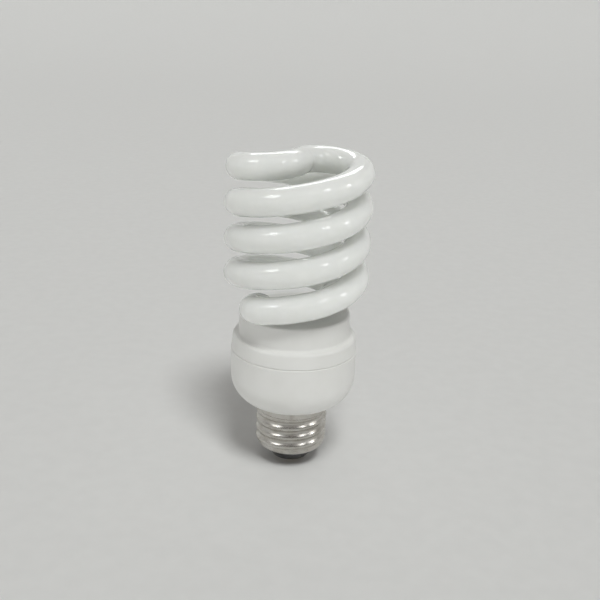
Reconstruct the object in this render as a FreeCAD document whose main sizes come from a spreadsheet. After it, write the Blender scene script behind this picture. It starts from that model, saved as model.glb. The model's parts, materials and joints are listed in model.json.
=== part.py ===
import FreeCAD, Part
import math
import operator
import os
from types import SimpleNamespace

import Sketcher

# Spiral energy saving lamp on a screw cap, in millimetres.
# The lamp stands on its cap. Z is its axis, Z = 0 is the upper edge of the cap's metal shell,
# and the lowest turn that leads into the holder passes the front, which is -Y.

SIZES = (
    # Spiral glass tube
    ("tube_diameter", 9.4, "outside of the glass tube"),
    ("coil_radius", 20.8, "lamp axis to the tube's centre line"),
    ("coil_lead", 24.7, "rise of one strand in a full turn"),
    ("coil_turns", 1.8, "turns of each strand, from its curl to the bridge on top"),
    ("coil_start_angle", -120, "direction in plan where the curl joins the coil, in degrees"),
    ("coil_gap", 0.9, "tower top to the underside of the tube where the curl starts"),
    ("curl_radius", 8, "inward curl of each tube end, seen in plan"),
    ("curl_turn", 90, "turn of that curl, in degrees"),
    ("leg_bend_radius", 7.5, "bend from the curl down into the holder"),
    ("leg_length", 4, "straight leg below the bend"),
    ("seal_length", 3, "tapered end that closes the tube"),
    ("seal_diameter", 5, "small end of that taper"),
    # Tube holder
    ("tower_height", 8.25, "tower under the coil, from the ledge to its flat top"),
    ("tower_draft", 0.2, "growth of the tower's radius down to the ledge"),
    ("tower_plate", 2, "thickness of the tower's top"),
    ("tower_edge_round", 0.8, "rounding of the tower's top edge"),
    ("tower_foot_round", 0.9, "hollow rounding between tower and ledge"),
    ("ledge_width", 2.25, "ledge round the tower"),
    ("shoulder_round", 1.3, "rounding of the ledge's outer edge"),
    ("collar_height", 5.7, "collar from the seam to the ledge"),
    ("collar_taper", 0.4, "loss of the collar's radius from the seam to the ledge"),
    ("collar_step", 0.1, "collar behind the lower housing at the seam"),
    ("holder_wall", 1.6, "wall of the tube holder"),
    ("tube_fit", 0.25, "room round the tube in its socket"),
    ("socket_wall", 1.3, "wall of the sockets under the tower's top"),
    ("socket_depth", 3.2, "length of those sockets"),
    ("cement_depth", 1.6, "collar of cement below each socket"),
    ("cement_gap", 0.05, "cement to glass"),
    # Seam and snap joint between the covers
    ("seam_height", 19.2, "height of the seam"),
    ("seam_chamfer", 0.3, "bevel of both edges at the seam"),
    ("skirt_length", 3, "skirt of the holder below the seam"),
    ("skirt_wall", 1.4, "wall of that skirt"),
    ("skirt_fit", 0.1, "skirt to lower housing"),
    ("bead_drop", 1.4, "seam down to the middle of the snap bead"),
    ("bead_size", 0.35, "height of the snap bead"),
    # Lower housing
    ("housing_radius", 22.6, "lower housing below the seam"),
    ("housing_wall", 1.6, "wall of the lower housing"),
    ("bowl_round", 11, "curve of the bowl in section, from the upright wall to the flat underside"),
    ("bowl_floor", 1.6, "thickness of the flat underside"),
    ("rim_step", 4.2, "flat underside from the cap out to the bowl"),
    ("neck_length", 12, "neck inside the cap"),
    ("neck_wall", 1.4, "wall of the neck"),
    ("neck_fit", 0.15, "neck to metal shell"),
    ("rib_count", 6, "ribs that carry the board"),
    ("rib_thickness", 1.2, "thickness of a rib"),
    ("rib_seat", 1.4, "reach of a rib under the board"),
    ("rib_depth", 4, "height of a rib at the wall"),
    # Screw cap
    ("cap_radius", 13.2, "plain collar of the shell"),
    ("cap_collar", 4.4, "height of that collar"),
    ("collar_round", 0.5, "rounding under the collar"),
    ("shell_wall", 0.4, "sheet of the shell"),
    ("thread_depth", 1, "collar down to the shell at the root of its thread"),
    ("shell_length", 19.4, "length of the shell"),
    ("nose_length", 2, "turned in end of the shell"),
    ("nose_radius", 10.2, "opening edge of that end"),
    ("insulator_height", 1.8, "insulator above the turned in end"),
    ("insulator_cone", 4.2, "cone of the insulator below the shell"),
    ("insulator_fit", 0.05, "insulator to shell"),
    ("insulator_tip", 6.9, "small end of the cone"),
    ("insulator_bore", 1.2, "radius of the hole for the live lead"),
    ("contact_radius", 4.9, "centre contact"),
    ("contact_edge", 0.7, "edge height of the contact"),
    ("contact_dome", 0.6, "crown of the contact"),
    ("contact_seat", 0.3, "depth of the contact in the insulator"),
    ("solder_radius", 1.9, "drop of solder on the contact"),
    ("solder_height", 0.9, "height of that drop"),
    # Board and common lead sizes
    ("board_gap", 0.7, "board to lower housing"),
    ("board_thickness", 1.6, "board"),
    ("lead_diameter", 0.6, "wire ends of the parts"),
    ("lead_fit", 0.1, "room round a wire in the board"),
    ("lead_stub", 0.8, "wire ends past the board"),
    ("stand_off", 0.5, "parts to board"),
    # Parts under the board
    ("bulk_radius", 4, "bulk capacitor can"),
    ("bulk_length", 14, "bulk capacitor can"),
    ("bulk_groove", 0.5, "rolled groove of the can"),
    ("bulk_spread", 3.5, "between the can's wires"),
    ("choke_x", -9.5, "choke on the board"),
    ("choke_width", 12, "ferrite core across"),
    ("choke_height", 10, "ferrite core"),
    ("choke_depth", 5, "ferrite core, front to back"),
    ("choke_yoke", 1.7, "outer limbs of the core"),
    ("choke_limb", 3.2, "middle limb of the core"),
    ("bobbin_wall", 0.7, "walls of the bobbin"),
    ("bobbin_fit", 0.1, "bobbin to core"),
    ("bobbin_reach", 2, "bobbin cheeks past the core"),
    ("winding_inset", 0.4, "winding below the edge of the cheeks"),
    ("ring_x", 8.8, "drive transformer ring"),
    ("ring_y", -8.4, "drive transformer ring"),
    ("ring_outer", 4, "outer radius of the ring"),
    ("ring_inner", 2.1, "inner radius of the ring"),
    ("ring_height", 3.6, "height of the ring"),
    ("turn_count", 6, "turns of wire round the ring"),
    ("turn_wire", 0.5, "wire of the ring's windings"),
    ("turn_fit", 0.05, "wire to ring"),
    ("resonant_x", -0.6, "resonant capacitor on the board"),
    ("resonant_y", -8.8, "resonant capacitor on the board"),
    ("resonant_width", 7.6, "resonant capacitor"),
    ("resonant_depth", 4.4, "resonant capacitor"),
    ("resonant_height", 7.6, "resonant capacitor"),
    ("start_x", 10, "start capacitor on the board"),
    ("start_y", 1, "start capacitor on the board"),
    ("start_width", 7, "start capacitor"),
    ("start_depth", 4, "start capacitor"),
    ("start_height", 6.4, "start capacitor"),
    ("film_round", 1.2, "rounded corners of the film capacitors"),
    ("transistor_x", 11.4, "first transistor on the board"),
    ("transistor_y", 7.8, "first transistor on the board"),
    ("transistor_step_x", 5.2, "second transistor from the first, towards the choke"),
    ("transistor_step_y", 3.2, "second transistor from the first, towards the edge"),
    ("transistor_radius", 2.35, "round back of a transistor"),
    ("transistor_flat", 1.2, "flat face of a transistor, from its middle"),
    ("transistor_height", 4.8, "body of a transistor"),
    ("transistor_spread", 1.27, "between a transistor's legs"),
    ("transistor_lift", 1.6, "body of a transistor to board"),
    ("diode_y", 10.6, "row of rectifier diodes"),
    ("diode_first_x", -8.6, "first diode of the row"),
    ("diode_step", 3.1, "between diodes"),
    ("diode_radius", 1.3, "body of a diode"),
    ("diode_length", 4.8, "body of a diode"),
    ("resistor_x", -8.6, "bias resistors on the board"),
    ("resistor_first_y", -11.4, "first bias resistor"),
    ("resistor_step", 3, "between bias resistors"),
    ("resistor_radius", 1.1, "body of a bias resistor"),
    ("resistor_length", 4, "body of a bias resistor"),
    ("axial_reach", 1.2, "wire of an axial part from its body to its bend"),
    ("trigger_x", 14.2, "trigger diode on the board"),
    ("trigger_y", -1.6, "trigger diode on the board"),
    ("trigger_radius", 0.95, "body of the trigger diode"),
    ("trigger_length", 3.2, "body of the trigger diode"),
    ("thermistor_x", -1, "thermistor on the board"),
    ("thermistor_y", -13.4, "thermistor on the board"),
    ("thermistor_radius", 2.6, "disc of the thermistor"),
    ("thermistor_thickness", 2, "disc of the thermistor"),
    ("thermistor_spread", 3, "between the thermistor's wires"),
    # Leads to the cap and to the tube
    ("mains_wire", 0.9, "leads from the board to the cap"),
    ("mains_bend", 2.5, "bends of those leads"),
    ("live_x", 6, "live lead through the board"),
    ("live_y", -2.2, "live lead through the board"),
    ("live_rise", 3.75, "level run of the live lead above the insulator"),
    ("fuse_radius", 1.6, "fusible resistor in the live lead"),
    ("fuse_length", 7, "fusible resistor"),
    ("fuse_top", 0.5, "upper end of the fusible resistor"),
    ("neutral_x", 4.2, "neutral lead through the board"),
    ("neutral_y", 5.6, "neutral lead through the board"),
    ("pin_inset", 3, "skirt to the middle of the wrap pins"),
    ("pin_side", 0.7, "square wrap pin"),
    ("pin_height", 4.6, "wrap pin above the board"),
    ("pin_swing", 16, "wrap pins to either side of their tube end, in degrees"),
    ("filament_wire", 0.5, "leads of the tube"),
    ("filament_spread", 2.6, "between the leads of one tube end"),
    ("wrap_fit", 0.02, "wrapped lead to the corners of its pin"),
    ("wrap_wall", 0.45, "lead wrapped round its pin"),
    ("wrap_height", 1.6, "lead wrapped round its pin"),
)

OPERATIONS = {"+": operator.add, "-": operator.sub, "*": operator.mul, "/": operator.truediv}
UP = FreeCAD.Vector(0, 0, 1)
ORIGIN = FreeCAD.Vector(0, 0, 0)


class Size:
    """A number together with the spreadsheet expression that gives it."""

    def __init__(self, number, text):
        self.number = float(number)
        self.text = text

    def __add__(self, other):
        return combined(self, "+", other)

    def __radd__(self, other):
        return combined(other, "+", self)

    def __sub__(self, other):
        return combined(self, "-", other)

    def __rsub__(self, other):
        return combined(other, "-", self)

    def __mul__(self, other):
        return combined(self, "*", other)

    def __truediv__(self, other):
        return combined(self, "/", other)

    def __neg__(self):
        return combined(0, "-", self)

    def __float__(self):
        return self.number


def as_size(value):
    return value if isinstance(value, Size) else Size(value, repr(float(value)))


def combined(left, sign, right):
    left, right = as_size(left), as_size(right)
    return Size(OPERATIONS[sign](left.number, right.number), f"({left.text} {sign} {right.text})")


def other_leg(long_side, leg):
    """The second leg of a right-angled triangle."""
    square = long_side * long_side - leg * leg
    return Size(math.sqrt(square.number), f"sqrt({square.text})")


# The document and its sheet of sizes

doc = FreeCAD.newDocument("spiral_lamp")
sheet = doc.addObject("Spreadsheet::Sheet", "sizes")
for row, (alias, number, meaning) in enumerate(SIZES, start=1):
    sheet.set(f"A{row}", str(number))
    sheet.setAlias(f"A{row}", alias)
    sheet.set(f"B{row}", meaning)
doc.recompute()
dim = SimpleNamespace(**{alias: Size(sheet.get(alias), f"sizes.{alias}") for alias, number, meaning in SIZES})
nodes = []
board_holes = []


# Places shared by several pieces

ledge_height = dim.seam_height + dim.collar_height
tower_top = ledge_height + dim.tower_height
collar_radius = dim.housing_radius - dim.collar_step
shoulder_radius = collar_radius - dim.collar_taper
tower_foot = shoulder_radius - dim.ledge_width
tower_radius = tower_foot - dim.tower_draft
tube_radius = dim.tube_diameter / 2
socket_radius = tube_radius + dim.tube_fit
coil_base = tower_top + dim.coil_gap + tube_radius
socket_top = tower_top - dim.tower_plate
housing_inner = dim.housing_radius - dim.housing_wall
skirt_outer = housing_inner - dim.skirt_fit
skirt_inner = skirt_outer - dim.skirt_wall
bead_height = dim.seam_height - dim.bead_drop
board_top = dim.seam_height - dim.skirt_length
board_bottom = board_top - dim.board_thickness
board_radius = housing_inner - dim.board_gap
hanging_top = board_bottom - dim.stand_off
rim_radius = dim.cap_radius + dim.rim_step
bowl_middle = dim.housing_radius - dim.bowl_round
bowl_top = other_leg(dim.bowl_round, rim_radius - bowl_middle)
bowl_inner = dim.bowl_round - dim.housing_wall
floor_radius = bowl_middle + other_leg(bowl_inner, bowl_top - dim.bowl_floor)
shell_radius = dim.cap_radius - dim.thread_depth
shell_inner = shell_radius - dim.shell_wall
collar_inner = dim.cap_radius - dim.shell_wall
neck_outer = shell_inner - dim.neck_fit
neck_inner = neck_outer - dim.neck_wall
nose_start = -dim.shell_length + dim.nose_length
insulator_top = nose_start + dim.insulator_height
neutral_height = (insulator_top - dim.neck_length) / 2
cone_end = -dim.shell_length - dim.insulator_cone
contact_top = cone_end + dim.contact_seat


# Small modelling helpers

def vector(x, y, z):
    return FreeCAD.Vector(float(x), float(y), float(z))


def bind(item, name, value):
    item.setExpression(name, as_size(value).text)


def place(item, x, y, z):
    for axis, value in zip("xyz", (x, y, z)):
        bind(item, f"Placement.Base.{axis}", value)


def keep(item, label):
    """Register an object as a sub-part of the lamp under its own name."""
    item.Label = label
    nodes.append(item)
    return item


def cylinder(name, radius, height, x, y, z):
    item = doc.addObject("Part::Cylinder", name)
    bind(item, "Radius", radius)
    bind(item, "Height", height)
    place(item, x, y, z)
    return item


def block(name, width, depth, height, x, y, z):
    """A box that is centred on x and y and stands on z."""
    item = doc.addObject("Part::Box", name)
    bind(item, "Length", width)
    bind(item, "Width", depth)
    bind(item, "Height", height)
    place(item, x - as_size(width) / 2, y - as_size(depth) / 2, z)
    return item


def cut(name, base, tool):
    item = doc.addObject("Part::Cut", name)
    item.Base = base
    item.Tool = tool
    return item


def fuse(name, pieces):
    item = doc.addObject("Part::MultiFuse", name)
    item.Shapes = pieces
    return item


def feature(name, shape):
    item = doc.addObject("Part::Feature", name)
    item.Shape = shape
    item.Placement = shape.Placement
    return item


def rounded_uprights(name, base, radius):
    """Fillet the upright edges of a box."""
    doc.recompute()
    item = doc.addObject("Part::Fillet", name)
    item.Base = base
    upright = [number for number, edge in enumerate(base.Shape.Edges, start=1)
               if abs(edge.tangentAt(edge.FirstParameter).z) > 0.99]
    item.Edges = [(number, radius.number, radius.number) for number in upright]
    return item


def arc_in_plane(start, end, bend):
    """A sketch arc between two points, turning left for a positive radius."""
    (x0, y0), (x1, y1) = start, end
    chord = math.hypot(x1 - x0, y1 - y0)
    rise = math.sqrt(bend * bend - chord * chord / 4) * math.copysign(1, bend)
    x = (x0 + x1) / 2 - (y1 - y0) / chord * rise
    y = (y0 + y1) / 2 + (x1 - x0) / chord * rise
    first = math.atan2(y0 - y, x0 - x)
    last = math.atan2(y1 - y, x1 - x)
    if bend < 0:
        first, last = last, first
    circle = Part.Circle(FreeCAD.Vector(x, y, 0), UP, abs(bend))
    return Part.ArcOfCircle(circle, first, last if last > first else last + 2 * math.pi)


def sketch(body, name, role, corners):
    """Draw a closed outline with every corner bound to the sheet.

    A corner is (across, up), or (across, up, bend) where an arc of that radius leads to the next corner.
    """
    item = body.newObject("Sketcher::SketchObject", name)
    plane = next(part for part in body.Origin.OriginFeatures if part.Role == role)
    item.AttachmentSupport = [(plane, "")]
    item.MapMode = "FlatFace"
    corners = [tuple(as_size(value) for value in corner) for corner in corners]
    ends = []
    for corner, following in zip(corners, corners[1:] + corners[:1]):
        start = (corner[0].number, corner[1].number)
        end = (following[0].number, following[1].number)
        if len(corner) == 2:
            edge = item.addGeometry(Part.LineSegment(vector(*start, 0), vector(*end, 0)), False)
            ends.append((edge, 1, 2))
            continue
        bend = corner[2]
        edge = item.addGeometry(arc_in_plane(start, end, bend.number), False)
        ends.append((edge, 1, 2) if bend.number > 0 else (edge, 2, 1))
        radius = item.addConstraint(Sketcher.Constraint("Radius", edge, abs(bend.number)))
        bind(item, f"Constraints[{radius}]", bend if bend.number > 0 else -bend)
    for (edge, start, end), (next_edge, next_start, next_end) in zip(ends, ends[1:] + ends[:1]):
        item.addConstraint(Sketcher.Constraint("Coincident", edge, end, next_edge, next_start))
    for corner, (edge, start, end) in zip(corners, ends):
        for kind, axis, value in (("DistanceX", -2, corner[0]), ("DistanceY", -1, corner[1])):
            if value.number == 0:
                item.addConstraint(Sketcher.Constraint("PointOnObject", edge, start, axis))
                continue
            number = item.addConstraint(Sketcher.Constraint(kind, -1, 1, edge, start, value.number))
            bind(item, f"Constraints[{number}]", value)
    return item


def turned(name, corners):
    """A body turned about the lamp's axis from an outline of (radius, height) corners."""
    body = doc.addObject("PartDesign::Body", name)
    profile = sketch(body, f"{name}_outline", "XZ_Plane", corners)
    turn = body.newObject("PartDesign::Revolution", f"{name}_turn")
    turn.Profile = profile
    turn.ReferenceAxis = (profile, ["V_Axis"])
    turn.Angle = 360
    profile.Visibility = False
    return body


def extruded(name, role, corners, length, middle=True):
    """A body padded from an outline, to both sides of the outline's plane or up from it."""
    body = doc.addObject("PartDesign::Body", name)
    profile = sketch(body, f"{name}_outline", role, corners)
    pad = body.newObject("PartDesign::Pad", f"{name}_pad")
    pad.Profile = profile
    bind(pad, "Length", length)
    pad.Midplane = middle
    return body


# Paths of tangent arcs for the glass tube, and wires

def arc_from(start, heading, end):
    """The arc, or line, that leaves start along heading and reaches end."""
    chord = end - start
    turn = heading.getAngle(chord)
    if turn < 1e-6:
        return Part.LineSegment(start, end).toShape()
    normal = heading.cross(chord).normalize()
    inward = normal.cross(heading).normalize()
    centre = start + inward * (chord.dot(chord) / (2 * chord.dot(inward)))
    middle = FreeCAD.Rotation(normal, math.degrees(turn)).multVec(start - centre) + centre
    return Part.Arc(start, middle, end).toShape()


def smooth_path(stations):
    """Join (point, heading) stations by pairs of arcs that share their headings."""
    edges = []
    for (start, heading), (end, heading_after) in zip(stations, stations[1:]):
        span = end - start
        square = 2 * (1 - heading.dot(heading_after))
        linear = 2 * span.dot(heading + heading_after)
        reach = 2 * span.dot(span) / (linear + math.sqrt(linear * linear + 4 * square * span.dot(span)))
        meeting = (start + end + (heading - heading_after) * reach) * 0.5
        heading_there = (meeting - start - heading * reach).normalize()
        edges.append(arc_from(start, heading, meeting))
        edges.append(arc_from(meeting, heading_there, end))
    return edges


def station(angle, radius, height, slope, widening=0, centre=ORIGIN):
    """A point on a rising curve round a centre, with its heading; slope and widening are per unit of arc."""
    outward = FreeCAD.Vector(math.cos(angle), math.sin(angle), 0)
    along = FreeCAD.Vector(-math.sin(angle), math.cos(angle), 0)
    heading = (along + outward * widening + UP * slope).normalize()
    return centre + outward * radius + UP * height, heading


def pipe(edges, radius):
    """Sweep a disc along a chain of edges, and test its volume against section times length."""
    path = Part.Wire(edges)
    first = edges[0]
    start = first.Vertexes[0].Point
    disc = Part.Face(Part.Wire(Part.Circle(start, first.tangentAt(first.FirstParameter), radius).toShape()))
    solid = path.makePipe(disc)
    expected = math.pi * radius * radius * path.Length
    if abs(solid.Volume - expected) > 0.02 * expected:
        raise ValueError(f"swept volume {solid.Volume:.1f} is not {expected:.1f}")
    return solid


def bent_run(points, bend):
    """Straight runs through the points, joined by arcs of one radius."""
    edges = []
    start = points[0]
    for before, corner, after in zip(points, points[1:], points[2:]):
        arriving = (corner - before).normalize()
        leaving = (after - corner).normalize()
        setback = bend * math.tan(arriving.getAngle(leaving) / 2)
        arc_start = corner - arriving * setback
        arc_end = corner + leaving * setback
        edges.append(Part.LineSegment(start, arc_start).toShape())
        edges.append(arc_from(arc_start, arriving, arc_end))
        start = arc_end
    edges.append(Part.LineSegment(start, points[-1]).toShape())
    return edges


def sharp_wire(points, radius):
    """A round wire through the points, with mitred corners."""
    start, following = points[:2]
    ring = Part.Wire(Part.Circle(start, following - start, radius).toShape())
    right_corners = 1
    return Part.makePolygon(points).makePipeShell([ring], True, False, right_corners)


def half_turn_copy(shape):
    return shape.rotated(ORIGIN, UP, 180)


# Spiral glass tube

def tube_paths():
    """Centre lines of one half of the tube: its leg with the curl, then its coil with half the bridge."""
    radius = dim.coil_radius.number
    curl = dim.curl_radius.number
    bend = dim.leg_bend_radius.number
    slope = dim.coil_lead.number / (2 * math.pi * radius)
    first = math.radians(dim.coil_start_angle.number)
    curl_turn = math.radians(dim.curl_turn.number)
    curl_centre = FreeCAD.Vector(math.cos(first), math.sin(first), 0) * (radius - curl)
    curl_steps = 2
    curl_stations = []
    for step in range(curl_steps + 1):
        back = curl_turn * (1 - step / curl_steps)
        height = coil_base.number - slope * curl * back
        curl_stations.append(station(first - back, curl, height, slope, centre=curl_centre))

    bend_end, heading = curl_stations[0]
    level = FreeCAD.Vector(heading.x, heading.y, 0).normalize()
    above = level.cross(UP).cross(level).normalize()
    tilt = heading.getAngle(level)
    normal = above * math.cos(tilt) - level * math.sin(tilt)
    leg_top = bend_end - normal * bend - level * bend
    leg_end = leg_top - UP * dim.leg_length.number
    leg = [Part.LineSegment(leg_end, leg_top).toShape(), arc_from(leg_top, UP, bend_end)]

    whole_turn = 2 * math.pi * dim.coil_turns.number
    steps_per_turn = 4
    coil_steps = math.ceil(steps_per_turn * dim.coil_turns.number)
    coil_stations = []
    for step in range(coil_steps + 1):
        angle = whole_turn * step / coil_steps
        coil_stations.append(station(first + angle, radius, coil_base.number + slope * radius * angle, slope))
    coil_top = coil_base.number + slope * radius * whole_turn

    last = first + whole_turn
    lobe = radius / 2
    lobe_centre = FreeCAD.Vector(math.cos(last), math.sin(last), 0) * lobe
    bridge_steps = 3
    for step in range(1, bridge_steps + 1):
        share = step / bridge_steps
        height = coil_top + slope * lobe * math.pi * (share - share * share / 2)
        coil_stations.append(
            station(last + math.pi * share, lobe, height, slope * (1 - share), centre=lobe_centre))
    return leg + smooth_path(curl_stations), smooth_path(coil_stations), leg_end


leg_path, coil_path, leg_end = tube_paths()
seal_end = leg_end - UP * dim.seal_length.number


def make_spiral_tube():
    half = pipe(leg_path + coil_path, tube_radius.number)
    seal = Part.makeCone(dim.seal_diameter.number / 2, tube_radius.number, dim.seal_length.number, seal_end,
                         UP)
    half = half.fuse(seal)
    keep(feature("glass", half.fuse(half_turn_copy(half))), "spiral_tube")


# Tube holder

def make_tube_holder():
    ledge_inside = ledge_height - dim.holder_wall
    tower_inner = tower_radius - dim.holder_wall
    cover = turned("cover", [
        (0, tower_top),
        (tower_radius - dim.tower_edge_round, tower_top, -dim.tower_edge_round),
        (tower_radius, tower_top - dim.tower_edge_round),
        (tower_foot, ledge_height + dim.tower_foot_round, dim.tower_foot_round),
        (tower_foot + dim.tower_foot_round, ledge_height),
        (shoulder_radius - dim.shoulder_round, ledge_height, -dim.shoulder_round),
        (shoulder_radius, ledge_height - dim.shoulder_round),
        (collar_radius, dim.seam_height + dim.seam_chamfer),
        (collar_radius - dim.seam_chamfer, dim.seam_height),
        (skirt_outer, dim.seam_height),
        (skirt_outer, bead_height + dim.bead_size),
        (skirt_outer + dim.bead_size, bead_height),
        (skirt_outer, bead_height - dim.bead_size),
        (skirt_outer, board_top),
        (skirt_inner, board_top),
        (skirt_inner, ledge_inside),
        (tower_inner, ledge_inside),
        (tower_inner, socket_top),
        (0, socket_top),
    ])
    room = pipe(leg_path, socket_radius.number)
    rooms = feature("tube_rooms", Part.makeCompound([room, half_turn_copy(room)]))
    socket_height = dim.socket_depth + dim.tower_plate / 2
    sockets = [cylinder(f"socket_{number}", socket_radius + dim.socket_wall, socket_height,
                        side * leg_end.x, side * leg_end.y, socket_top - dim.socket_depth)
               for number, side in enumerate((1, -1), start=1)]
    solid = fuse("holder_solid", [cover] + sockets)
    keep(cut("holder", solid, rooms), "tube_holder")


def make_tube_cement():
    room = pipe(leg_path, tube_radius.number + dim.cement_gap.number)
    for number, side in enumerate((1, -1), start=1):
        ring = cylinder(f"cement_ring_{number}", socket_radius + dim.socket_wall, dim.cement_depth,
                        side * leg_end.x, side * leg_end.y,
                        socket_top - dim.socket_depth - dim.cement_depth)
        glass = feature(f"cement_room_{number}", room if side == 1 else half_turn_copy(room))
        seated = cut(f"cement_seat_{number}", ring, doc.getObject("holder"))
        keep(cut(f"cement_{number}", seated, glass), f"tube_cement_{number}")


# Lower housing

def make_lower_housing():
    step = -dim.cap_collar + dim.shell_wall + dim.neck_fit
    body = turned("bowl", [
        (neck_inner, -dim.neck_length),
        (neck_outer, -dim.neck_length),
        (neck_outer, step),
        (collar_inner - dim.neck_fit, step),
        (collar_inner - dim.neck_fit, 0),
        (rim_radius, 0, dim.bowl_round),
        (dim.housing_radius, bowl_top),
        (dim.housing_radius, dim.seam_height - dim.seam_chamfer),
        (dim.housing_radius - dim.seam_chamfer, dim.seam_height),
        (housing_inner, dim.seam_height),
        (housing_inner, bead_height + dim.bead_size),
        (housing_inner + dim.bead_size, bead_height),
        (housing_inner, bead_height - dim.bead_size),
        (housing_inner, bowl_top, -bowl_inner),
        (floor_radius, dim.bowl_floor),
        (neck_inner, dim.bowl_floor),
    ])
    doc.recompute()
    rib_inner = board_radius - dim.rib_seat
    in_wall = housing_inner + dim.housing_wall / 2
    outline = sketch(body, "rib_outline", "XZ_Plane", [
        (rib_inner, board_bottom),
        (rib_inner, board_bottom - dim.rib_seat),
        (in_wall, board_bottom - dim.rib_depth),
        (in_wall, board_bottom),
    ])
    rib = body.newObject("PartDesign::Pad", "rib")
    rib.Profile = outline
    bind(rib, "Length", dim.rib_thickness)
    rib.Midplane = True
    doc.recompute()
    ribs = body.newObject("PartDesign::PolarPattern", "ribs")
    ribs.Originals = [rib]
    ribs.Axis = (outline, ["V_Axis"])
    ribs.Angle = 360
    bind(ribs, "Occurrences", dim.rib_count)
    body.Tip = ribs
    keep(body, "lower_housing")


# Screw cap

def make_screw_shell():
    keep(turned("shell", [
        (collar_inner, 0),
        (dim.cap_radius, 0),
        (dim.cap_radius, -dim.cap_collar + dim.collar_round, -dim.collar_round),
        (dim.cap_radius - dim.collar_round, -dim.cap_collar),
        (shell_radius, -dim.cap_collar),
        (shell_radius, nose_start),
        (dim.nose_radius, -dim.shell_length),
        (dim.nose_radius - dim.shell_wall, -dim.shell_length),
        (shell_inner, nose_start),
        (shell_inner, -dim.cap_collar + dim.shell_wall),
        (collar_inner, -dim.cap_collar + dim.shell_wall),
    ]), "screw_shell")


def make_cap_insulator():
    keep(turned("insulator", [
        (dim.insulator_bore, insulator_top),
        (shell_inner - dim.insulator_fit, insulator_top),
        (shell_inner - dim.insulator_fit, nose_start),
        (dim.nose_radius - dim.shell_wall - dim.insulator_fit, -dim.shell_length),
        (dim.insulator_tip, cone_end),
        (dim.contact_radius, cone_end),
        (dim.contact_radius, contact_top),
        (dim.insulator_bore, contact_top),
    ]), "cap_insulator")


def make_centre_contact():
    edge_height = contact_top - dim.contact_edge
    crown = edge_height - dim.contact_dome
    dome_radius = (dim.contact_radius * dim.contact_radius / dim.contact_dome + dim.contact_dome) / 2
    keep(turned("contact", [
        (0, contact_top),
        (dim.contact_radius, contact_top),
        (dim.contact_radius, edge_height, -dome_radius),
        (0, crown),
    ]), "centre_contact")
    drop_radius = (dim.solder_radius * dim.solder_radius / dim.solder_height + dim.solder_height) / 2
    seat = crown + dome_radius
    drop = turned("solder_ball", [
        (0, crown + dim.contact_dome),
        (dim.solder_radius, crown + dim.contact_dome),
        (dim.solder_radius, crown, -drop_radius),
        (0, crown - dim.solder_height),
    ])
    dome = doc.addObject("Part::Sphere", "contact_dome_ball")
    bind(dome, "Radius", dome_radius)
    place(dome, 0, 0, seat)
    keep(cut("solder", drop, dome), "contact_solder")


# Board, and the parts that hang from it

def lead(name, x, y, bottom, diameter=dim.lead_diameter):
    """A straight wire end from a part up through the board, with its hole."""
    board_holes.append((x, y, diameter / 2 + dim.lead_fit))
    return cylinder(name, diameter / 2, board_top + dim.lead_stub - bottom, x, y, bottom)


def make_bulk_capacitor():
    top = hanging_top
    bottom = top - dim.bulk_length
    groove = top - dim.bulk_groove * 4
    can = turned("bulk_can", [
        (0, bottom),
        (dim.bulk_radius - dim.bulk_groove, bottom, dim.bulk_groove),
        (dim.bulk_radius, bottom + dim.bulk_groove),
        (dim.bulk_radius, groove - dim.bulk_groove),
        (dim.bulk_radius - dim.bulk_groove, groove),
        (dim.bulk_radius, groove + dim.bulk_groove),
        (dim.bulk_radius, top - dim.bulk_groove, dim.bulk_groove),
        (dim.bulk_radius - dim.bulk_groove, top),
        (0, top),
    ])
    leads = [lead(f"bulk_lead_{number}", dim.bulk_spread / 2 * side, 0, top)
             for number, side in enumerate((-1, 1), start=1)]
    keep(fuse("bulk", [can] + leads), "bulk_capacitor")


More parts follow.
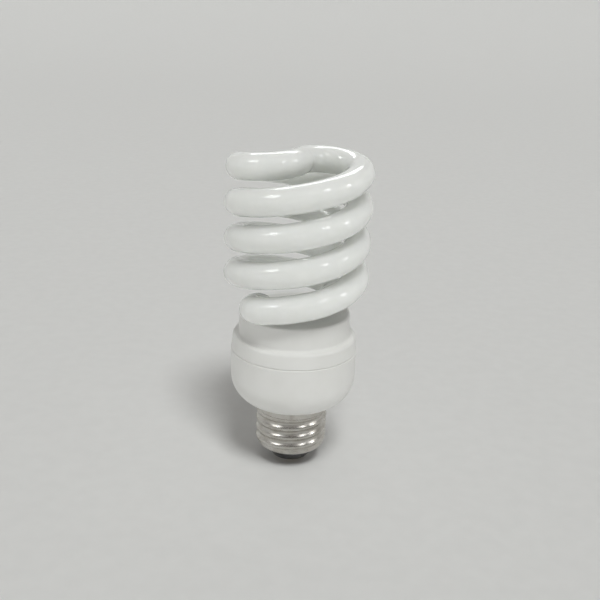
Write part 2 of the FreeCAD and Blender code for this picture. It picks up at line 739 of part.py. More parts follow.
def make_choke():
    top = hanging_top
    bottom = top - dim.choke_height
    window_height = dim.choke_height - dim.choke_yoke * 2
    window_bottom = bottom + dim.choke_yoke
    window_width = (dim.choke_width - dim.choke_limb) / 2 - dim.choke_yoke
    core = block("choke_block", dim.choke_depth, dim.choke_width, dim.choke_height, dim.choke_x, 0, bottom)
    windows = [block(f"choke_window_{number}", dim.choke_depth * 2, window_width, window_height, dim.choke_x,
                     (dim.choke_limb + window_width) / 2 * side, window_bottom)
               for number, side in enumerate((-1, 1), start=1)]
    keep(cut("choke_frame", core, fuse("choke_windows", windows)), "choke_core")

    fit = dim.bobbin_fit
    wall = dim.bobbin_wall
    limb_depth = dim.choke_depth + fit * 2
    limb_width = dim.choke_limb + fit * 2
    inner_height = window_height - fit * 2
    cheek_depth = dim.choke_depth + dim.bobbin_reach * 2
    cheek_width = dim.choke_limb + window_width * 2 - fit * 2
    low = window_bottom + fit
    cheek = [block(f"bobbin_cheek_{number}", cheek_depth, cheek_width, wall, dim.choke_x, 0, height)
             for number, height in enumerate((low, low + inner_height - wall), start=1)]
    tube = block("bobbin_tube", limb_depth + wall * 2, limb_width + wall * 2, inner_height,
                 dim.choke_x, 0, low)
    limb_room = block("bobbin_room", limb_depth, limb_width, inner_height * 2, dim.choke_x, 0, bottom)
    pin_reach = (dim.choke_depth + dim.bobbin_reach) / 2
    pins = [lead(f"bobbin_pin_{number}", dim.choke_x + pin_reach * across, cheek_width / 4 * along,
                 low + inner_height - wall)
            for number, (across, along) in enumerate(((-1, -1), (-1, 1), (1, -1), (1, 1)), start=1)]
    keep(cut("bobbin", fuse("bobbin_solid", cheek + [tube] + pins), limb_room), "choke_bobbin")

    coil = block("winding_block", cheek_depth - dim.winding_inset * 2, cheek_width - dim.winding_inset * 2,
                 inner_height - wall * 2, dim.choke_x, 0, low + wall)
    tube_room = block("winding_room", limb_depth + wall * 2, limb_width + wall * 2, inner_height,
                      dim.choke_x, 0, low)
    rounded = rounded_uprights("winding_round", coil, dim.winding_inset * 2)
    keep(cut("winding", rounded, tube_room), "choke_winding")


def make_drive_ring():
    top = hanging_top - dim.turn_wire - dim.turn_fit
    bottom = top - dim.ring_height
    disc = cylinder("ring_disc", dim.ring_outer, dim.ring_height, dim.ring_x, dim.ring_y, bottom)
    hole = cylinder("ring_hole", dim.ring_inner, dim.ring_height, dim.ring_x, dim.ring_y, bottom)
    keep(cut("ring", disc, hole), "drive_ring")
    inside = dim.ring_inner - dim.turn_fit - dim.turn_wire
    outside = dim.ring_outer + dim.turn_fit + dim.turn_wire
    wire = dim.turn_wire
    gap = dim.turn_fit
    spacing = 360 / dim.turn_count.number
    for number in range(int(dim.turn_count.number)):
        turn = extruded(f"ring_turn_{number + 1}", "XZ_Plane", [
            (inside, bottom - gap - wire),
            (outside, bottom - gap - wire),
            (outside, top + gap + wire),
            (inside, top + gap + wire),
        ], wire)
        doc.recompute()
        window = sketch(turn, f"ring_turn_{number + 1}_window", "XZ_Plane", [
            (inside + wire, bottom - gap),
            (outside - wire, bottom - gap),
            (outside - wire, top + gap),
            (inside + wire, top + gap),
        ])
        pocket = turn.newObject("PartDesign::Pocket", f"ring_turn_{number + 1}_pocket")
        pocket.Profile = window
        pocket.Type = "ThroughAll"
        pocket.Midplane = True
        place(turn, dim.ring_x, dim.ring_y, 0)
        turn.Placement.Rotation = FreeCAD.Rotation(UP, spacing * number)
        angle = math.radians(spacing * number)
        end = lead(f"ring_turn_{number + 1}_end", dim.ring_x + (outside - wire / 2) * math.cos(angle),
                   dim.ring_y + (outside - wire / 2) * math.sin(angle), top, wire)
        keep(fuse(f"ring_turn_{number + 1}_whole", [turn, end]), f"drive_turn_{number + 1}")


def make_film_capacitor(label, x, y, width, depth, height, along_y=False):
    bottom = hanging_top - height
    across = (depth, width) if along_y else (width, depth)
    body = block(f"{label}_block", *across, height, x, y, bottom)
    rounded = rounded_uprights(f"{label}_round", body, dim.film_round)
    reach = width / 2 - dim.film_round
    leads = [lead(f"{label}_lead_{number}",
                  x if along_y else x + reach * side,
                  y + reach * side if along_y else y, hanging_top - dim.lead_diameter)
             for number, side in enumerate((-1, 1), start=1)]
    keep(fuse(f"{label}_whole", [rounded] + leads), label)


def make_transistors():
    top = board_bottom - dim.transistor_lift
    for number in (1, 2):
        x = dim.transistor_x - dim.transistor_step_x * (number - 1)
        y = dim.transistor_y + dim.transistor_step_y * (number - 1)
        barrel = cylinder(f"transistor_barrel_{number}", dim.transistor_radius, dim.transistor_height,
                          x, y, top - dim.transistor_height)
        slab = block(f"transistor_slab_{number}", dim.transistor_radius * 3, dim.transistor_radius,
                     dim.transistor_height, x, y - dim.transistor_flat - dim.transistor_radius / 2,
                     top - dim.transistor_height)
        body = cut(f"transistor_body_{number}", barrel, slab)
        legs = [lead(f"transistor_{number}_leg_{leg + 2}", x + dim.transistor_spread * leg, y,
                     top - dim.lead_diameter) for leg in (-1, 0, 1)]
        keep(fuse(f"transistor_whole_{number}", [body] + legs), f"transistor_{number}")


def make_axial_part(label, x, y, radius, length, along_y):
    """A small barrel that lies under the board, with its wires bent up through it."""
    height = hanging_top - radius
    reach = length / 2 + dim.axial_reach
    across = FreeCAD.Vector(0, 1, 0) if along_y else FreeCAD.Vector(1, 0, 0)
    middle = vector(x, y, height)
    ends = [middle + across * (reach.number * side) for side in (-1, 1)]
    tip = UP * (board_top + dim.lead_stub - height).number
    wire = sharp_wire([ends[0] + tip, ends[0], ends[1], ends[1] + tip], dim.lead_diameter.number / 2)
    barrel = Part.makeCylinder(radius.number, length.number, middle - across * (length.number / 2), across)
    for side in (-1, 1):
        board_holes.append((x if along_y else x + reach * side, y + reach * side if along_y else y,
                            dim.lead_diameter / 2 + dim.lead_fit))
    keep(feature(f"{label}_shape", barrel.fuse(wire)), label)


def make_thermistor():
    centre = hanging_top - dim.thermistor_radius
    back = dim.thermistor_y + dim.thermistor_thickness / 2
    disc = Part.makeCylinder(dim.thermistor_radius.number, dim.thermistor_thickness.number,
                             vector(dim.thermistor_x, back, centre), FreeCAD.Vector(0, -1, 0))
    body = feature("thermistor_disc", disc)
    leads = [lead(f"thermistor_lead_{number}", dim.thermistor_x + dim.thermistor_spread / 2 * side,
                  dim.thermistor_y, centre) for number, side in enumerate((-1, 1), start=1)]
    keep(fuse("thermistor_whole", [body] + leads), "thermistor")


def make_fuse_resistor():
    """The fusible resistor and its long wires, from the board down to the centre contact."""
    x, y = dim.live_x.number, dim.live_y.number
    stub = (board_top + dim.lead_stub).number
    low = (insulator_top + dim.live_rise).number
    top = dim.fuse_top.number
    length = dim.fuse_length.number
    wire = pipe(bent_run([
        FreeCAD.Vector(x, y, stub),
        FreeCAD.Vector(x, y, low),
        FreeCAD.Vector(0, 0, low),
        FreeCAD.Vector(0, 0, contact_top.number),
    ], dim.mains_bend.number), dim.mains_wire.number / 2)
    barrel = Part.makeCylinder(dim.fuse_radius.number, length, FreeCAD.Vector(x, y, top - length), UP)
    board_holes.append((dim.live_x, dim.live_y, dim.mains_wire / 2 + dim.lead_fit))
    keep(feature("fuse_shape", barrel.fuse(wire)), "fuse_resistor")


def make_neutral_lead():
    """From the board down the neck and out to the shell below the neck's end."""
    x, y = dim.neutral_x.number, dim.neutral_y.number
    outward = FreeCAD.Vector(x, y, 0).normalize()
    end = outward * shell_inner.number + UP * neutral_height.number
    wire = pipe(bent_run([
        FreeCAD.Vector(x, y, (board_top + dim.lead_stub).number),
        FreeCAD.Vector(x, y, neutral_height.number),
        end,
    ], dim.mains_bend.number), dim.mains_wire.number / 2)
    stub = (board_top + dim.lead_stub).number
    inside = Part.makeCylinder(shell_inner.number, stub - nose_start.number, UP * nose_start.number, UP)
    board_holes.append((dim.neutral_x, dim.neutral_y, dim.mains_wire / 2 + dim.lead_fit))
    keep(feature("neutral_shape", wire.common(inside)), "neutral_lead")


# Wrap pins on the board and the leads of the tube

def make_pins_and_filament_leads():
    side = dim.pin_side
    sleeve_room = side.number / math.sqrt(2) + dim.wrap_fit.number
    sleeve_outer = sleeve_room + dim.wrap_wall.number
    wire = dim.filament_wire.number
    leg_angle = math.atan2(seal_end.y, seal_end.x)
    number = 0
    for half in (0, math.pi):
        for swing in (-1, 1):
            number += 1
            angle = leg_angle + half + math.radians(dim.pin_swing.number) * swing
            spot = FreeCAD.Vector(math.cos(angle), math.sin(angle), 0) * (skirt_inner - dim.pin_inset).number
            pin = block(f"pin_{number}", side, side, dim.pin_height + dim.board_thickness, spot.x, spot.y,
                        board_bottom)
            keep(pin, f"wrap_pin_{number}")
            wrap_middle = board_top.number + dim.pin_height.number - dim.wrap_height.number
            outward = FreeCAD.Vector(math.cos(leg_angle + half), math.sin(leg_angle + half), 0)
            beside = UP.cross(outward) * (dim.filament_spread.number / 2 * swing)
            start = outward * math.hypot(seal_end.x, seal_end.y) + beside + UP * seal_end.z
            corner = FreeCAD.Vector(start.x, start.y, wrap_middle)
            finish = FreeCAD.Vector(spot.x, spot.y, wrap_middle)
            run = sharp_wire([start, corner, finish], wire / 2)
            sleeve_low = finish - UP * (dim.wrap_height.number / 2)
            sleeve = Part.makeCylinder(sleeve_outer, dim.wrap_height.number, sleeve_low, UP)
            room = Part.makeCylinder(sleeve_room, dim.wrap_height.number * 3,
                                     finish - UP * (dim.wrap_height.number * 1.5), UP)
            keep(feature(f"filament_{number}", run.fuse(sleeve).cut(room)), f"filament_lead_{number}")


def make_circuit_board():
    disc = cylinder("board_disc", board_radius, dim.board_thickness, 0, 0, board_bottom)
    tools = [cylinder(f"board_hole_{number}", radius, dim.board_thickness * 2, x, y,
                      board_bottom - dim.board_thickness / 2)
             for number, (x, y, radius) in enumerate(board_holes, start=1)]
    pins = [item for item in nodes if item.Label.startswith("wrap_pin")]
    keep(cut("board", disc, fuse("board_holes", tools + pins)), "circuit_board")


make_spiral_tube()
make_tube_holder()
make_tube_cement()
make_lower_housing()
make_screw_shell()
make_cap_insulator()
make_centre_contact()
make_bulk_capacitor()
make_choke()
make_drive_ring()
make_film_capacitor("resonant_capacitor", dim.resonant_x, dim.resonant_y, dim.resonant_width,
                    dim.resonant_depth, dim.resonant_height)
make_film_capacitor("start_capacitor", dim.start_x, dim.start_y, dim.start_width, dim.start_depth,
                    dim.start_height, along_y=True)
make_transistors()
for count in range(4):
    make_axial_part(f"rectifier_diode_{count + 1}", dim.diode_first_x + dim.diode_step * count, dim.diode_y,
                    dim.diode_radius, dim.diode_length, along_y=True)
for count in range(2):
    make_axial_part(f"bias_resistor_{count + 1}", dim.resistor_x,
                    dim.resistor_first_y + dim.resistor_step * count,
                    dim.resistor_radius, dim.resistor_length, along_y=False)
make_axial_part("trigger_diode", dim.trigger_x, dim.trigger_y, dim.trigger_radius, dim.trigger_length,
                along_y=True)
make_thermistor()
make_fuse_resistor()
make_neutral_lead()
make_pins_and_filament_leads()
make_circuit_board()

doc.recompute()
for item in doc.Objects:
    if "Invalid" in item.State or "Error" in item.State:
        raise RuntimeError(f"{item.Label} failed to build: {item.State}")
for node in nodes:
    if node.Shape.isNull() or not node.Shape.isValid() or len(node.Shape.Solids) != 1:
        raise RuntimeError(f"{node.Label} is not one valid solid")

os.makedirs("parts", exist_ok=True)
for node in nodes:
    node.Shape.exportStep(f"parts/{node.Label}.step")
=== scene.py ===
import json
import math

import bpy
from mathutils import Matrix, Vector


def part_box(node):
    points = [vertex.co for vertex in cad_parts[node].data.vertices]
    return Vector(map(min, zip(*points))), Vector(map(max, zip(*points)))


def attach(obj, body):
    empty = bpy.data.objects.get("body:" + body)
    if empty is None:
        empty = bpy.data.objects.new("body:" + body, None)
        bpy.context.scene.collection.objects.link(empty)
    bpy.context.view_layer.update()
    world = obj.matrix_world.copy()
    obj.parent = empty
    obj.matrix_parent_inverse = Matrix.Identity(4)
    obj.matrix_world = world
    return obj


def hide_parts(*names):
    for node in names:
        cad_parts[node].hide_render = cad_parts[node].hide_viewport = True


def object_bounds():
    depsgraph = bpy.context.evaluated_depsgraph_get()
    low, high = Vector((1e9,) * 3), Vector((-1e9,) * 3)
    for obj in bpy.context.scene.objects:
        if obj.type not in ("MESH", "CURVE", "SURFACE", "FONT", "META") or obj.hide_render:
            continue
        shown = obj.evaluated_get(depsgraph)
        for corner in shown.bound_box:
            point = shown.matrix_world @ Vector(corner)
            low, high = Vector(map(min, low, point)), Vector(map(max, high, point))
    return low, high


# A spiral energy saving lamp that stands on its screw cap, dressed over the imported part.
# Lengths are in metres, and MM turns a size given in millimetres into metres.

MM = 0.001

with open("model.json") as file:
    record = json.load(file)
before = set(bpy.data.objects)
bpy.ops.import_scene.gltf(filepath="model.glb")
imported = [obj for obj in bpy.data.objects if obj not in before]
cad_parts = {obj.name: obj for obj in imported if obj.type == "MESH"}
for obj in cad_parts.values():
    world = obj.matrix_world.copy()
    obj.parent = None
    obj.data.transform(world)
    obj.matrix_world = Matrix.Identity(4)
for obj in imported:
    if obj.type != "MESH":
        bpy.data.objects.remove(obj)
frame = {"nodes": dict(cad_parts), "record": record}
cad_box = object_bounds()
nodes = frame["nodes"]
slot_of = {part["node"]: part["material_slot"] for part in frame["record"]["subparts"]}


# Node materials

class Recipe:
    """A procedural material: each step adds a node, and set() feeds the shader."""

    def __init__(self, name, **values):
        self.material = bpy.data.materials.new(name)
        self.material.use_nodes = True
        self.tree = self.material.node_tree
        self.shader = self.tree.nodes["Principled BSDF"]
        self.place = self.node("TexCoord").outputs["Object"]
        self.set(**values)

    def feed(self, socket, value):
        if isinstance(value, bpy.types.NodeSocket):
            self.tree.links.new(value, socket)
        else:
            socket.default_value = value

    def node(self, kind, inputs=None, **settings):
        item = self.tree.nodes.new(f"ShaderNode{kind}")
        for name, value in settings.items():
            setattr(item, name, value)
        for name, value in (inputs or {}).items():
            self.feed(item.inputs[name], value)
        return item

    def set(self, **values):
        """Feed the shader's sockets by their names, with spaces written as underscores."""
        for name, value in values.items():
            self.feed(self.shader.inputs[name.replace("_", " ")], value)

    def noise(self, size, detail=2.0, stretch=(1, 1, 1)):
        """Soft noise with grains of about the given size."""
        place = self.node("Mapping", {"Vector": self.place, "Scale": stretch}).outputs["Vector"]
        return self.node("TexNoise", {"Vector": place, "Scale": 1 / size, "Detail": detail}).outputs[0]

    def cells(self, size):
        return self.node("TexVoronoi", {"Vector": self.place, "Scale": 1 / size}).outputs["Distance"]

    def spread(self, value, low, high, new_low, new_high):
        """Map a range of values to another one, with soft ends."""
        return self.node("MapRange", {"Value": value, "From Min": low, "From Max": high,
                                      "To Min": new_low, "To Max": new_high},
                         interpolation_type="SMOOTHSTEP").outputs["Result"]

    def math(self, operation, first, second):
        item = self.node("Math", operation=operation)
        self.feed(item.inputs[0], first)
        self.feed(item.inputs[1], second)
        return item.outputs[0]

    def colours(self, factor, *stops):
        """A colour ramp through (position, colour) stops."""
        ramp = self.node("ValToRGB", {"Fac": factor})
        elements = ramp.color_ramp.elements
        while len(elements) < len(stops):
            elements.new(1)
        for element, (position, colour) in zip(elements, stops):
            element.position = position
            element.color = (*colour, 1)
        return ramp.outputs["Color"]

    def bump(self, height, distance):
        return self.node("Bump", {"Height": height, "Distance": distance, "Strength": 1}).outputs["Normal"]

    def axis_distance(self):
        """Distance from the lamp's axis."""
        flat = self.node("VectorMath", {0: self.place, 1: (1, 1, 0)}, operation="MULTIPLY").outputs[0]
        return self.node("VectorMath", {0: flat}, operation="LENGTH").outputs["Value"]


def coated_glass():
    """White powder seen through a glossy glass wall, with the slight waves of drawn glass."""
    recipe = Recipe("coated_glass", Roughness=0.5, IOR=1.5,
                    Coat_Weight=1.0, Coat_Roughness=0.03, Coat_IOR=1.52,
                    Subsurface_Weight=1.0, Subsurface_Radius=(1, 1, 0.95), Subsurface_Scale=12 * MM)
    powder = recipe.noise(5 * MM, 4)
    waves = recipe.noise(11 * MM, 1)
    recipe.set(Base_Color=recipe.colours(powder, (0.3, (0.79, 0.81, 0.785)), (0.7, (0.83, 0.845, 0.82))),
               Coat_Normal=recipe.bump(waves, 0.05 * MM))
    return recipe.material


def housing_plastic():
    """White moulded plastic with a fine eroded grain."""
    recipe = Recipe("housing_plastic", IOR=1.5)
    tone = recipe.noise(14 * MM, 3)
    grain = recipe.noise(0.22 * MM, 2)
    recipe.set(Base_Color=recipe.colours(tone, (0.35, (0.755, 0.755, 0.735)), (0.65, (0.79, 0.79, 0.775))),
               Roughness=recipe.spread(grain, 0.3, 0.7, 0.3, 0.42),
               Normal=recipe.bump(grain, 0.006 * MM))
    return recipe.material


def cap_metal():
    """Nickel plated sheet: rolling streaks round the axis, dull roots and rubbed crests."""
    recipe = Recipe("cap_metal", Metallic=1.0)
    streaks = recipe.noise(2 * MM, 4, stretch=(1, 1, 26))
    stains = recipe.noise(4 * MM, 5)
    dull_radius = 12.3 * MM
    rubbed_radius = 13.05 * MM
    rubbed = recipe.spread(recipe.axis_distance(), dull_radius, rubbed_radius, 0.1, -0.04)
    roughness = recipe.spread(streaks, 0.25, 0.75, 0.16, 0.32)
    recipe.set(Base_Color=recipe.colours(stains, (0.3, (0.48, 0.455, 0.415)), (0.5, (0.58, 0.56, 0.525)),
                                         (0.75, (0.64, 0.625, 0.6))),
               Roughness=recipe.math("ADD", roughness, rubbed),
               Normal=recipe.bump(streaks, 0.008 * MM))
    return recipe.material


def insulator_glass():
    """Black cast glass with a wavy skin and faint grey scuffs."""
    recipe = Recipe("insulator_glass", IOR=1.55, Coat_Weight=0.5, Coat_Roughness=0.05)
    scuffs = recipe.noise(1.4 * MM, 6)
    waves = recipe.noise(2.6 * MM, 2)
    recipe.set(Base_Color=recipe.colours(scuffs, (0.55, (0.012, 0.012, 0.014)), (0.8, (0.04, 0.04, 0.042))),
               Roughness=recipe.spread(scuffs, 0.45, 0.75, 0.12, 0.4),
               Normal=recipe.bump(waves, 0.1 * MM))
    return recipe.material


def contact_brass():
    """Stamped brass with fine scratches and a darker tarnish in patches."""
    recipe = Recipe("contact_brass", Metallic=1.0)
    tarnish = recipe.noise(2.2 * MM, 5)
    scratches = recipe.noise(0.5 * MM, 3, stretch=(1, 14, 1))
    recipe.set(Base_Color=recipe.colours(tarnish, (0.3, (0.5, 0.36, 0.17)), (0.65, (0.76, 0.6, 0.32))),
               Roughness=recipe.spread(scratches, 0.3, 0.7, 0.2, 0.4),
               Normal=recipe.bump(scratches, 0.006 * MM))
    return recipe.material


def tin_solder():
    """Dull solder that froze in small crystals."""
    recipe = Recipe("tin_solder", Metallic=1.0)
    crystals = recipe.cells(0.5 * MM)
    recipe.set(Base_Color=recipe.colours(crystals, (0.1, (0.5, 0.5, 0.5)), (0.7, (0.68, 0.68, 0.67))),
               Roughness=recipe.spread(crystals, 0, 0.8, 0.32, 0.5),
               Normal=recipe.bump(crystals, 0.02 * MM))
    return recipe.material


def copper_wire():
    """Enamelled wire laid side by side, with painted shade in the grooves between the turns."""
    recipe = Recipe("copper_wire", Metallic=0.8, Coat_Weight=0.6, Coat_Roughness=0.12)
    turns_and_groove_shade = recipe.node("TexWave", {"Vector": recipe.place, "Scale": 0.3 / MM, "Distortion": 0.6},
                        bands_direction="Z").outputs["Fac"]
    # The colour darkens in the grooves between turns: painted shade, not a colour of the wire.
    recipe.set(Base_Color=recipe.colours(turns_and_groove_shade, (0.0, (0.2, 0.07, 0.03)), (0.6, (0.66, 0.3, 0.14))),
               Roughness=recipe.spread(turns_and_groove_shade, 0, 1, 0.45, 0.25),
               Normal=recipe.bump(turns_and_groove_shade, 0.06 * MM))
    return recipe.material


# Plain finishes inside the lamp: dark and light tone, grain, roughness, relief, and other shader values
INNER_FINISHES = {
    "board_laminate": ((0.36, 0.22, 0.1), (0.52, 0.36, 0.18), 0.8 * MM, 0.55, 0.01 * MM, {}),
    "capacitor_sleeve": ((0.012, 0.016, 0.04), (0.02, 0.026, 0.06), 3 * MM, 0.28, 0.02 * MM,
                         {"Coat_Weight": 0.3}),
    "ferrite": ((0.03, 0.03, 0.032), (0.075, 0.075, 0.08), 0.3 * MM, 0.6, 0.02 * MM, {}),
    "bobbin_plastic": ((0.02, 0.02, 0.02), (0.035, 0.035, 0.035), 0.4 * MM, 0.5, 0.01 * MM, {}),
    "film_coating": ((0.3, 0.05, 0.02), (0.42, 0.08, 0.035), 2 * MM, 0.22, 0.08 * MM, {"Coat_Weight": 0.5}),
    "thermistor_coating": ((0.02, 0.07, 0.2), (0.03, 0.1, 0.27), 0.6 * MM, 0.5, 0.03 * MM, {}),
    "resistor_coating": ((0.44, 0.31, 0.18), (0.55, 0.42, 0.27), 0.7 * MM, 0.45, 0.03 * MM, {}),
    "tinned_wire": ((0.58, 0.57, 0.55), (0.72, 0.71, 0.69), 0.5 * MM, 0.3, 0.01 * MM, {"Metallic": 1.0}),
    "moulded_black": ((0.012, 0.012, 0.013), (0.03, 0.03, 0.031), 0.3 * MM, 0.48, 0.01 * MM, {}),
    "diode_glass": ((0.09, 0.16, 0.38), (0.15, 0.24, 0.52), 0.9 * MM, 0.12, 0.02 * MM,
                    {"Coat_Weight": 0.8}),
    "cement": ((0.58, 0.56, 0.5), (0.7, 0.68, 0.62), 0.5 * MM, 0.85, 0.08 * MM, {}),
}


def mottled(name, dark, light, size, roughness, relief, values):
    """A plain inner material with a grain of the given size in its colour, gloss and surface."""
    recipe = Recipe(name, **values)
    grain = recipe.noise(size, 4)
    recipe.set(Base_Color=recipe.colours(grain, (0.35, dark), (0.65, light)),
               Roughness=recipe.spread(grain, 0.3, 0.7, roughness - 0.06, roughness + 0.06),
               Normal=recipe.bump(grain, relief))
    return recipe.material


def make_materials():
    """One material for each slot of the record."""
    finishes = {
        "coated_glass": coated_glass(),
        "housing_plastic": housing_plastic(),
        "cap_metal": cap_metal(),
        "insulator_glass": insulator_glass(),
        "contact_brass": contact_brass(),
        "tin_solder": tin_solder(),
        "copper_wire": copper_wire(),
    }
    for name, finish in INNER_FINISHES.items():
        finishes[name] = mottled(name, *finish)
    return finishes


# The metal shell of the cap, with its rolled thread

SHELL_COLLAR = 4.4 * MM
SHELL_SHEET = 0.2 * MM
SHELL_LIP = 0.35 * MM
SHELL_COLUMNS = 288
SHELL_ROW = 0.18 * MM
EASE_ABOVE = 0.7 * MM
EASE_BELOW = 0.5 * MM
THREAD_PITCH = 3.629 * MM
THREAD_CREST = 13.1 * MM
THREAD_ROOT = 12.16 * MM
THREAD_MIDDLE = (THREAD_CREST + THREAD_ROOT) / 2
THREAD_FADE = 1.5 * MM
NOSE_LENGTH = 2.4 * MM
NOSE_RADIUS = 10 * MM
NOSE_ROWS = 14
DENT_COUNT = 8
DENT_DROP = 2.1 * MM
DENT_SIZE = 0.62 * MM
DENT_DEPTH = 0.32 * MM


def smooth_step(low, high, value):
    share = min(max((value - low) / (high - low), 0), 1)
    return share * share * (3 - 2 * share)


def shell_profile(collar_radius, length):
    """Rows of (radius, depth) down the plain form of the shell, before thread and dents."""
    nose_start = length - NOSE_LENGTH
    rows = []
    steps = round(nose_start / SHELL_ROW)
    for step in range(steps + 1):
        depth = nose_start * step / steps
        narrowing = smooth_step(SHELL_COLLAR - EASE_ABOVE, SHELL_COLLAR + EASE_BELOW, depth)
        radius = collar_radius + (THREAD_MIDDLE - collar_radius) * narrowing
        tuck = max(SHELL_LIP - depth, 0)
        rows.append((radius - SHELL_LIP + math.sqrt(SHELL_LIP ** 2 - tuck ** 2), depth))
    for step in range(1, NOSE_ROWS + 1):
        turn = math.pi / 2 * step / NOSE_ROWS
        radius = NOSE_RADIUS + (THREAD_MIDDLE - NOSE_RADIUS) * math.cos(turn)
        rows.append((radius, nose_start + NOSE_LENGTH * math.sin(turn)))
    return rows


def thread_swell(angle, depth, length):
    """Rise of the right-hand thread over the plain form, fading towards collar and nose."""
    nose_start = length - NOSE_LENGTH
    fade_in = smooth_step(SHELL_COLLAR, SHELL_COLLAR + THREAD_FADE, depth)
    fade_out = 1 - smooth_step(nose_start - THREAD_FADE / 2, nose_start + THREAD_FADE / 2, depth)
    wave = math.cos(2 * math.pi * depth / THREAD_PITCH + angle)
    return (THREAD_CREST - THREAD_ROOT) / 2 * wave * fade_in * fade_out


def punch_dent(angle, depth, radius):
    """Depth of the nearest punch mark that locks the shell to the housing's neck."""
    spacing = 2 * math.pi / DENT_COUNT
    aside = (angle / spacing - round(angle / spacing)) * spacing * radius
    distance = math.hypot(aside, depth - DENT_DROP)
    return DENT_DEPTH * math.exp(-(distance / DENT_SIZE) ** 2)


def grid_mesh(name, rows, columns):
    """A tube of quads from rings of points, with smooth shading."""
    points = [point for row in rows for point in row]
    faces = []
    for row in range(len(rows) - 1):
        for column in range(columns):
            following = (column + 1) % columns
            faces.append((row * columns + column, (row + 1) * columns + column,
                          (row + 1) * columns + following, row * columns + following))
    mesh = bpy.data.meshes.new(name)
    mesh.from_pydata(points, [], faces)
    mesh.shade_smooth()
    piece = bpy.data.objects.new(name, mesh)
    bpy.context.scene.collection.objects.link(piece)
    return piece


def make_rolled_shell(material):
    low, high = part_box("screw_shell")
    collar_radius = high.x
    length = high.z - low.z
    rows = []
    for radius, depth in shell_profile(collar_radius, length):
        ring = []
        for column in range(SHELL_COLUMNS):
            angle = 2 * math.pi * column / SHELL_COLUMNS
            reach = radius + thread_swell(angle, depth, length) - punch_dent(angle, depth, radius)
            ring.append((reach * math.cos(angle), reach * math.sin(angle), high.z - depth))
        rows.append(ring)
    shell = grid_mesh("rolled_shell", rows, SHELL_COLUMNS)
    sheet = shell.modifiers.new("sheet", "SOLIDIFY")
    sheet.thickness = SHELL_SHEET
    sheet.offset = -1
    shell.data.materials.append(material)
    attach(shell, "root")
    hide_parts("screw_shell")


# Floor

FLOOR_FLAT = 1.5
FLOOR_REACH = 8.0
FLOOR_RISE = 4.5
FLOOR_COLUMNS = 96
FLOOR_RINGS = 40
FLOOR_CENTRE = 1 * MM
PAPER_DARK = (0.71, 0.71, 0.705)
PAPER_LIGHT = (0.73, 0.73, 0.725)
PAPER_BOUNCE = (0.9, 0.9, 0.895, 1)


def studio_paper():
    """Pale paper that looks a little darker than the light which it throws back on the lamp."""
    recipe = Recipe("studio_paper", Roughness=0.8, Specular_IOR_Level=0.2)
    fibres = recipe.noise(6 * MM, 3)
    paper = recipe.colours(fibres, (0.3, PAPER_DARK), (0.7, PAPER_LIGHT))
    ray = recipe.node("LightPath").outputs
    seen = recipe.math("MAXIMUM", ray["Is Camera Ray"], ray["Is Glossy Ray"])
    seen = recipe.math("MAXIMUM", seen, ray["Is Transmission Ray"])
    tone = recipe.node("MixRGB", {"Fac": seen, "Color1": PAPER_BOUNCE, "Color2": paper}).outputs[0]
    recipe.set(Base_Color=tone)
    return recipe.material


def make_floor(level):
    """A pale sheet that is flat under the lamp and rises gently far away, so that no horizon shows."""
    rows = []
    for ring in range(FLOOR_RINGS + 1):
        radius = FLOOR_REACH * (ring / FLOOR_RINGS) ** 2 + FLOOR_CENTRE
        away = max(radius - FLOOR_FLAT, 0) / (FLOOR_REACH - FLOOR_FLAT)
        height = level + FLOOR_RISE * away * away
        angles = [2 * math.pi * column / FLOOR_COLUMNS for column in range(FLOOR_COLUMNS)]
        rows.append([(radius * math.cos(angle), radius * math.sin(angle), height) for angle in angles])
    floor = grid_mesh("studio_floor", rows, FLOOR_COLUMNS)
    floor.data.flip_normals()
    floor.data.materials.append(studio_paper())


# Light

LAMP_MIDDLE = Vector((0, 0, 36.75 * MM))
LIGHT_COLOUR = (0.985, 1.0, 0.985)
KEY_STRENGTH = 1.72
KEY_AZIMUTH = 17
KEY_ELEVATION = 60
KEY_SPREAD = math.radians(18)
KEY_DISTANCE = 2
BOX_WATTS_PER_AREA = 19
BOX_HEIGHT = 0.28
BOX_DISTANCE = 1
# Name, azimuth, elevation and width of each box
GLOSS_BOXES = (("left_box", -60, 44, 0.34), ("right_box", 40, 44, 0.16), ("side_box", 76, 30, 0.16),
               ("back_box", 180, 50, 0.7))
AIR_COLOUR = (1.0, 0.97, 0.93, 1)
AIR_LEVEL = 0.175
AIR_OVERHEAD = 0.24


def aim(item, azimuth, elevation, distance):
    """Put a light round the lamp and turn it to the lamp; azimuth 0 is the front, 90 the right."""
    across, up = math.radians(azimuth), math.radians(elevation)
    away = Vector((math.sin(across) * math.cos(up), -math.cos(across) * math.cos(up), math.sin(up)))
    item.location = LAMP_MIDDLE + away * distance
    item.rotation_euler = away.to_track_quat("Z", "Y").to_euler()


def add_light(name, kind, energy, azimuth, elevation, distance, **settings):
    data = bpy.data.lights.new(name, kind)
    data.color = LIGHT_COLOUR
    data.energy = energy
    for setting, value in settings.items():
        setattr(data, setting, value)
    item = bpy.data.objects.new(name, data)
    bpy.context.scene.collection.objects.link(item)
    aim(item, azimuth, elevation, distance)
    return item


def make_light():
    """A soft key for the form, and boxes that only draw the gloss."""
    key = add_light("key_sun", "SUN", KEY_STRENGTH, KEY_AZIMUTH, KEY_ELEVATION, KEY_DISTANCE,
                    angle=KEY_SPREAD)
    key.visible_glossy = False
    for name, azimuth, elevation, width in GLOSS_BOXES:
        energy = BOX_WATTS_PER_AREA * width * BOX_HEIGHT
        box = add_light(name, "AREA", energy, azimuth, elevation, BOX_DISTANCE,
                        shape="RECTANGLE", size=width, size_y=BOX_HEIGHT)
        box.visible_diffuse = False


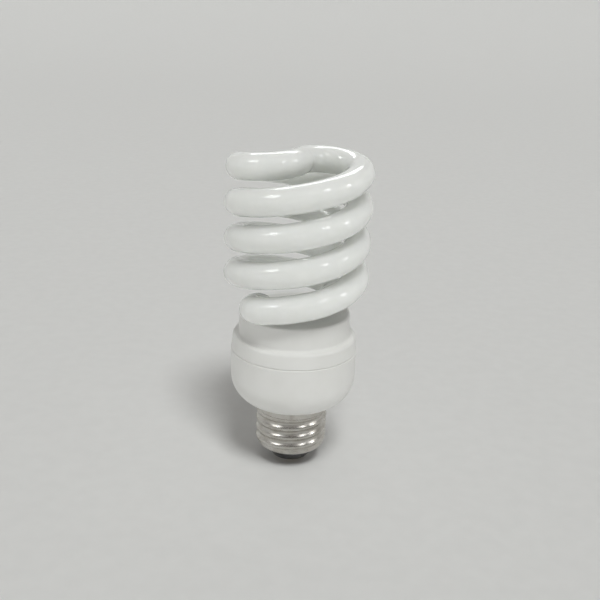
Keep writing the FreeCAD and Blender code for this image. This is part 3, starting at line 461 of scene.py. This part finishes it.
def make_world():
    """Even studio air that is a little brighter overhead."""
    world = bpy.data.worlds.new("studio_air")
    bpy.context.scene.world = world
    world.use_nodes = True
    tree = world.node_tree
    direction = tree.nodes.new("ShaderNodeTexCoord")
    height = tree.nodes.new("ShaderNodeSeparateXYZ")
    level = tree.nodes.new("ShaderNodeMapRange")
    level.inputs["To Min"].default_value = AIR_LEVEL
    level.inputs["To Max"].default_value = AIR_OVERHEAD
    air = tree.nodes["Background"]
    air.inputs["Color"].default_value = AIR_COLOUR
    tree.links.new(direction.outputs["Generated"], height.inputs["Vector"])
    tree.links.new(height.outputs["Z"], level.inputs["Value"])
    tree.links.new(level.outputs["Result"], air.inputs["Strength"])


# Camera

CAMERA_ELEVATION = math.radians(19.446)
CAMERA_ROLL = math.radians(2.157)
CAMERA_DISTANCE = 300 * MM
CAMERA_SIDESTEP = 1.677 * MM
CAMERA_LENS = 50.63
CAMERA_SENSOR = 36
CAMERA_NEAR = 10 * MM


def make_camera():
    """The photograph's view: from the front and a little above, rolled slightly."""
    back = Vector((0, -math.cos(CAMERA_ELEVATION), math.sin(CAMERA_ELEVATION)))
    level = Vector((1, 0, 0))
    upright = back.cross(level)
    right = level * math.cos(CAMERA_ROLL) + upright * math.sin(CAMERA_ROLL)
    up = back.cross(right)
    data = bpy.data.cameras.new("photo_view")
    data.lens = CAMERA_LENS
    data.sensor_width = CAMERA_SENSOR
    data.clip_start = CAMERA_NEAR
    camera = bpy.data.objects.new("photo_view", data)
    stand = LAMP_MIDDLE + back * CAMERA_DISTANCE + right * CAMERA_SIDESTEP
    turn = Matrix((right, up, back)).transposed().to_4x4()
    camera.matrix_world = Matrix.Translation(stand) @ turn
    bpy.context.scene.collection.objects.link(camera)
    bpy.context.scene.camera = camera


materials = make_materials()
for name, node in nodes.items():
    node.data.materials.clear()
    node.data.materials.append(materials[slot_of[name]])
make_rolled_shell(materials["cap_metal"])
make_floor(cad_box[0].z)
make_light()
make_world()
make_camera()
bpy.context.scene.view_settings.view_transform = "Standard"
